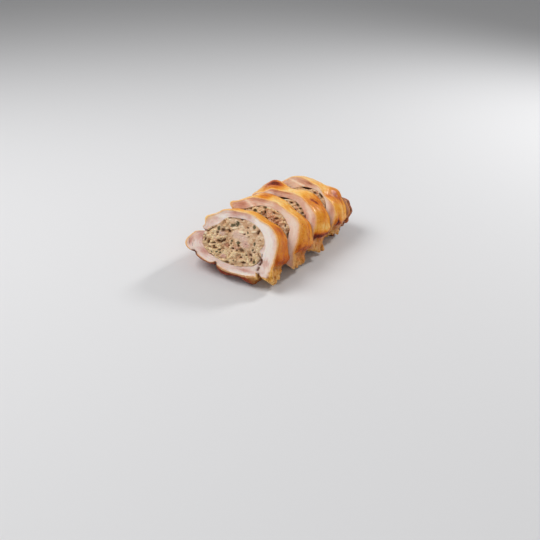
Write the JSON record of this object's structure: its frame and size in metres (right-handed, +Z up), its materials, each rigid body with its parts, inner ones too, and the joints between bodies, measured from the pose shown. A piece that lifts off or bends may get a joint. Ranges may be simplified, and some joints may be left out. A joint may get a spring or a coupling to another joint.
{
  "type": "stuffed suckling pig",
  "caption": "Roasted rolled suckling pig round a minced herb stuffing, cut in thick slices that lean back in a row, with a rough end piece.",
  "frame": {"origin": "on the resting surface, under the middle of the bounding box", "axes": "+Y along the row of slices, from the front slice to the end piece; +X to the right seen from the front; +Z up"},
  "size_m": [0.0838, 0.134, 0.0503],
  "materials": {
    "meat": "moist cut face with glazed golden rind",
    "stuffing": "crumbly minced meat with herbs",
    "rind": "rough browned rind"
  },
  "bodies": {
    "root": {"slice_1_meat": "meat", "slice_1_stuffing": "stuffing", "slice_2_meat": "meat", "slice_2_stuffing": "stuffing", "slice_3_meat": "meat", "slice_3_stuffing": "stuffing", "slice_4_meat": "meat", "slice_4_stuffing": "stuffing", "end_piece_meat": "rind", "end_piece_stuffing": "stuffing"}
  },
  "joints": []
}
